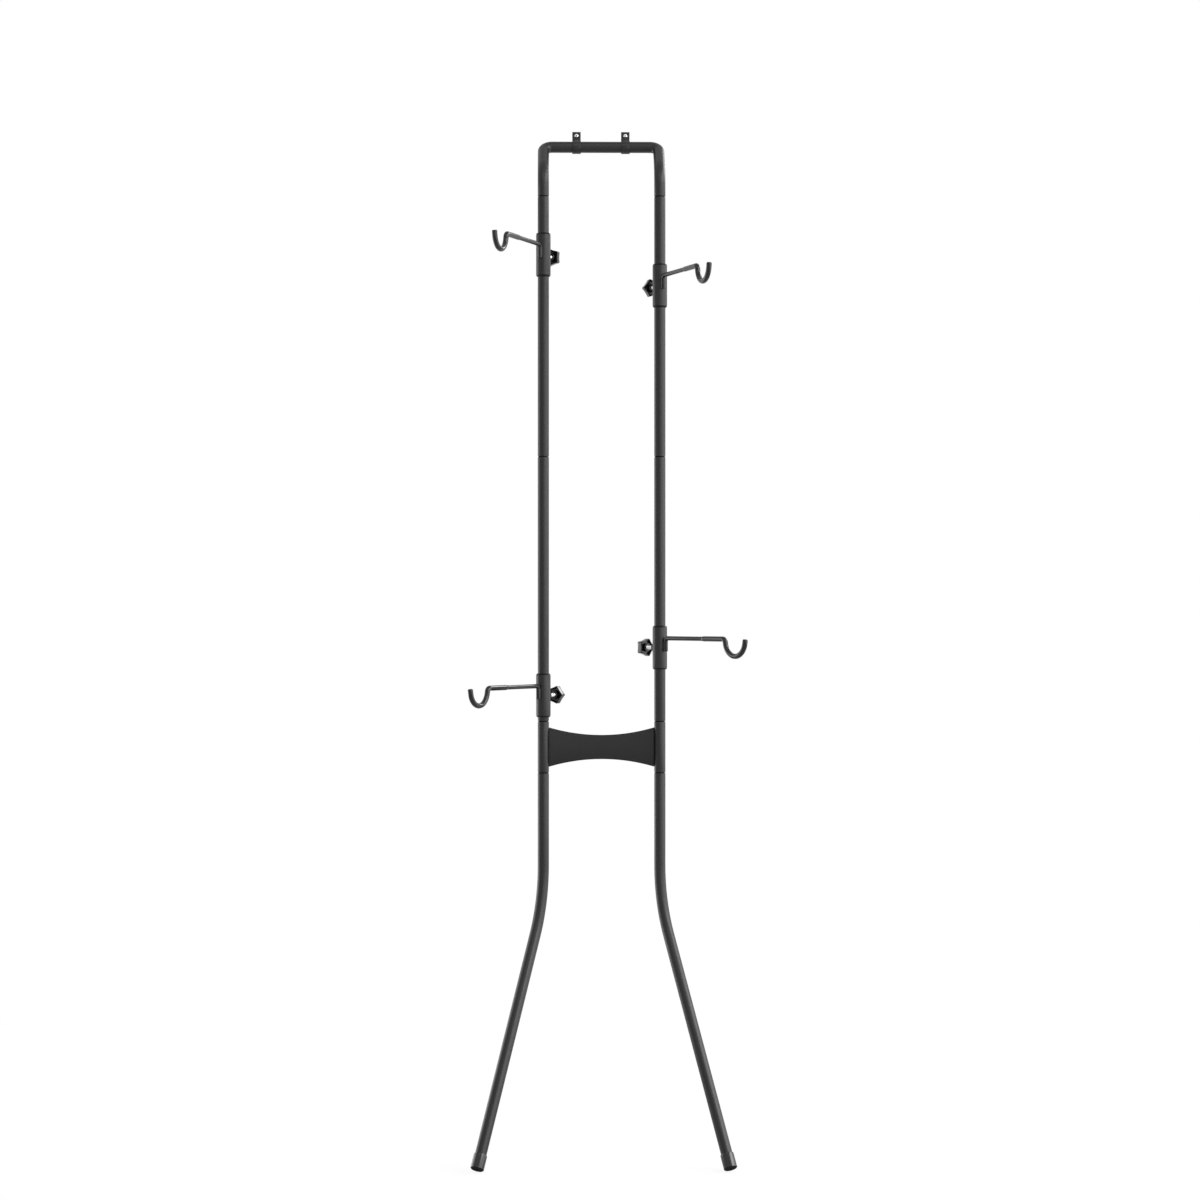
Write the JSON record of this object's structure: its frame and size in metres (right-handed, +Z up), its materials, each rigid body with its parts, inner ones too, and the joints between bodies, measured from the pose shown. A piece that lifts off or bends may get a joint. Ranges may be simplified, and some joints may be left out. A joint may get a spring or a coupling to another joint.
{
  "type": "two tier bike rack",
  "caption": "Tall two-pole stand that leans on a wall, with splayed feet and covered hooks on arms that slide, swing and clamp by star knobs to hold bicycles one above another.",
  "frame": {"origin": "on the floor, midway between the wall's face and the front of the feet, in the mirror plane of the two poles", "axes": "+Z up the poles, -Y toward the front where the arms reach, +Y toward the wall, +X to the right as seen from the front"},
  "size_m": [0.5564, 0.3708, 2.1059],
  "materials": {
    "frame_paint": "satin black powder coat",
    "plate_paint": "satin black powder coat on flat plate",
    "bush_nylon": "moulded black nylon",
    "hook_vinyl": "thick glossy black vinyl",
    "knob_plastic": "moulded glossy black",
    "cap_rubber": "smooth black rubber",
    "screw_zinc": "bright zinc plate"
  },
  "bodies": {
    "frame": {"top_bow": "frame_paint", "upper_pole_left": "frame_paint", "upper_pole_right": "frame_paint", "middle_pole_left": "frame_paint", "middle_pole_right": "frame_paint", "brace_tube_left": "frame_paint", "brace_tube_right": "frame_paint", "brace_plate": "plate_paint", "leg_left": "frame_paint", "leg_right": "frame_paint", "foot_cap_left": "cap_rubber", "foot_cap_right": "cap_rubber", "wall_clip_left": "frame_paint", "wall_clip_right": "frame_paint", "wall_screw_left": "screw_zinc", "wall_screw_right": "screw_zinc"},
    "upper_left_bushes": {"upper_left_top_bush": "bush_nylon", "upper_left_bottom_bush": "bush_nylon"},
    "upper_left_arm": {"upper_left_sleeve": "frame_paint", "upper_left_arm_rod": "frame_paint", "upper_left_hook_cover": "hook_vinyl", "upper_left_clamp_nut": "frame_paint"},
    "upper_left_screw": {"upper_left_clamp_screw": "screw_zinc"},
    "upper_left_knob": {"upper_left_star_knob": "knob_plastic"},
    "upper_right_bushes": {"upper_right_top_bush": "bush_nylon", "upper_right_bottom_bush": "bush_nylon"},
    "upper_right_arm": {"upper_right_sleeve": "frame_paint", "upper_right_arm_rod": "frame_paint", "upper_right_hook_cover": "hook_vinyl", "upper_right_clamp_nut": "frame_paint"},
    "upper_right_screw": {"upper_right_clamp_screw": "screw_zinc"},
    "upper_right_knob": {"upper_right_star_knob": "knob_plastic"},
    "lower_left_bushes": {"lower_left_top_bush": "bush_nylon", "lower_left_bottom_bush": "bush_nylon"},
    "lower_left_arm": {"lower_left_sleeve": "frame_paint", "lower_left_arm_rod": "frame_paint", "lower_left_hook_cover": "hook_vinyl", "lower_left_clamp_nut": "frame_paint"},
    "lower_left_screw": {"lower_left_clamp_screw": "screw_zinc"},
    "lower_left_knob": {"lower_left_star_knob": "knob_plastic"},
    "lower_right_bushes": {"lower_right_top_bush": "bush_nylon", "lower_right_bottom_bush": "bush_nylon"},
    "lower_right_arm": {"lower_right_sleeve": "frame_paint", "lower_right_arm_rod": "frame_paint", "lower_right_hook_cover": "hook_vinyl", "lower_right_clamp_nut": "frame_paint"},
    "lower_right_screw": {"lower_right_clamp_screw": "screw_zinc"},
    "lower_right_knob": {"lower_right_star_knob": "knob_plastic"}
  },
  "joints": [
    {"name": "upper_left_height", "type": "slide", "parent": "frame", "child": "upper_left_bushes", "axis": [0, 0, 1], "range_m": [-0.369, 0.093]},
    {"name": "upper_left_swing", "type": "hinge", "parent": "upper_left_bushes", "child": "upper_left_arm", "pos_m": [-0.12, 0.09662, 1.8391], "axis": [0, 0, 1], "range_deg": [-69.7, 40.3]},
    {"name": "upper_left_clamp", "type": "slide", "parent": "upper_left_arm", "child": "upper_left_screw", "axis": [0.3469, 0.9379, 0], "range_m": [0, 0.00125]},
    {"name": "upper_left_knob_turn", "type": "hinge", "parent": "upper_left_screw", "child": "upper_left_knob", "pos_m": [-0.12, 0.09662, 1.8391], "axis": [0.3469, 0.9379, 0], "range_deg": [0, 360]},
    {"name": "upper_right_height", "type": "slide", "parent": "frame", "child": "upper_right_bushes", "axis": [0, 0, 1], "range_m": [-0.306, 0.156]},
    {"name": "upper_right_swing", "type": "hinge", "parent": "upper_right_bushes", "child": "upper_right_arm", "pos_m": [0.12, 0.09662, 1.7759], "axis": [0, 0, 1], "range_deg": [-38.6, 71.4]},
    {"name": "upper_right_clamp", "type": "slide", "parent": "upper_right_arm", "child": "upper_right_screw", "axis": [-0.319, 0.9478, 0], "range_m": [0, 0.00125]},
    {"name": "upper_right_knob_turn", "type": "hinge", "parent": "upper_right_screw", "child": "upper_right_knob", "pos_m": [0.12, 0.09662, 1.7759], "axis": [-0.319, 0.9478, 0], "range_deg": [0, 360]},
    {"name": "lower_left_height", "type": "slide", "parent": "frame", "child": "lower_left_bushes", "axis": [0, 0, 1], "range_m": [-0.02, 0.445]},
    {"name": "lower_left_swing", "type": "hinge", "parent": "lower_left_bushes", "child": "lower_left_arm", "pos_m": [-0.12, 0.09662, 0.9321], "axis": [0, 0, 1], "range_deg": [-58.5, 51.5]},
    {"name": "lower_left_clamp", "type": "slide", "parent": "lower_left_arm", "child": "lower_left_screw", "axis": [0.5225, 0.8526, 0], "range_m": [0, 0.00125]},
    {"name": "lower_left_knob_turn", "type": "hinge", "parent": "lower_left_screw", "child": "lower_left_knob", "pos_m": [-0.12, 0.09662, 0.9321], "axis": [0.5225, 0.8526, 0], "range_deg": [0, 360]},
    {"name": "lower_right_height", "type": "slide", "parent": "frame", "child": "lower_right_bushes", "axis": [0, 0, 1], "range_m": [-0.118, 0.347]},
    {"name": "lower_right_swing", "type": "hinge", "parent": "lower_right_bushes", "child": "lower_right_arm", "pos_m": [0.12, 0.09662, 1.0303], "axis": [0, 0, 1], "range_deg": [-55.9, 54.1]},
    {"name": "lower_right_clamp", "type": "slide", "parent": "lower_right_arm", "child": "lower_right_screw", "axis": [-0.5864, 0.81, 0], "range_m": [0, 0.00125]},
    {"name": "lower_right_knob_turn", "type": "hinge", "parent": "lower_right_screw", "child": "lower_right_knob", "pos_m": [0.12, 0.09662, 1.0303], "axis": [-0.5864, 0.81, 0], "range_deg": [0, 360]}
  ],
  "couplings": [
    {"joint": "upper_left_knob_turn", "follows": "upper_left_clamp", "rad_per_m": 5026.5},
    {"joint": "upper_right_knob_turn", "follows": "upper_right_clamp", "rad_per_m": 5026.5},
    {"joint": "lower_left_knob_turn", "follows": "lower_left_clamp", "rad_per_m": 5026.5},
    {"joint": "lower_right_knob_turn", "follows": "lower_right_clamp", "rad_per_m": 5026.5}
  ]
}
